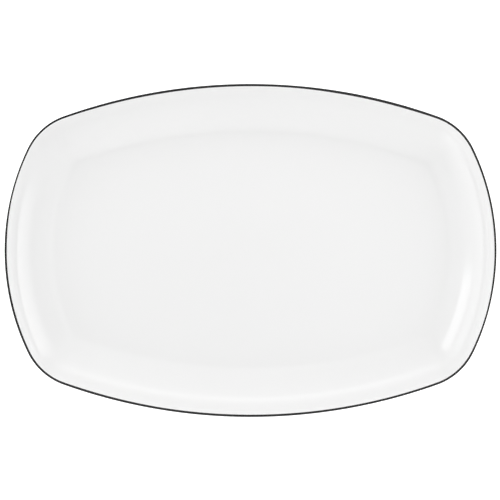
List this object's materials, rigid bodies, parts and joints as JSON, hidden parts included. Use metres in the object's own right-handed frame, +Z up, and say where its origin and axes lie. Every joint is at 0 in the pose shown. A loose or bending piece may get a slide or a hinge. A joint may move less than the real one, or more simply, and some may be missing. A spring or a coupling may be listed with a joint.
{
  "type": "serving platter",
  "caption": "Oblong white china serving platter with bowed sides, rounded corners, a flat well, coved walls, a thin black line on the lip and a foot ring underneath.",
  "frame": {"origin": "on the table plane, below the middle of the platter", "axes": "+Z up out of the well, +X along the platter's length, +Y across its width"},
  "size_m": [0.355, 0.2404, 0.028],
  "materials": {
    "bisque_china": "fired, unglazed",
    "white_glaze": "glossy glaze",
    "black_enamel": "glossy fired enamel"
  },
  "bodies": {
    "root": {"china_body": "bisque_china", "face_glaze": "white_glaze", "rim_line": "black_enamel", "back_glaze": "white_glaze", "base_glaze": "white_glaze"}
  },
  "joints": []
}
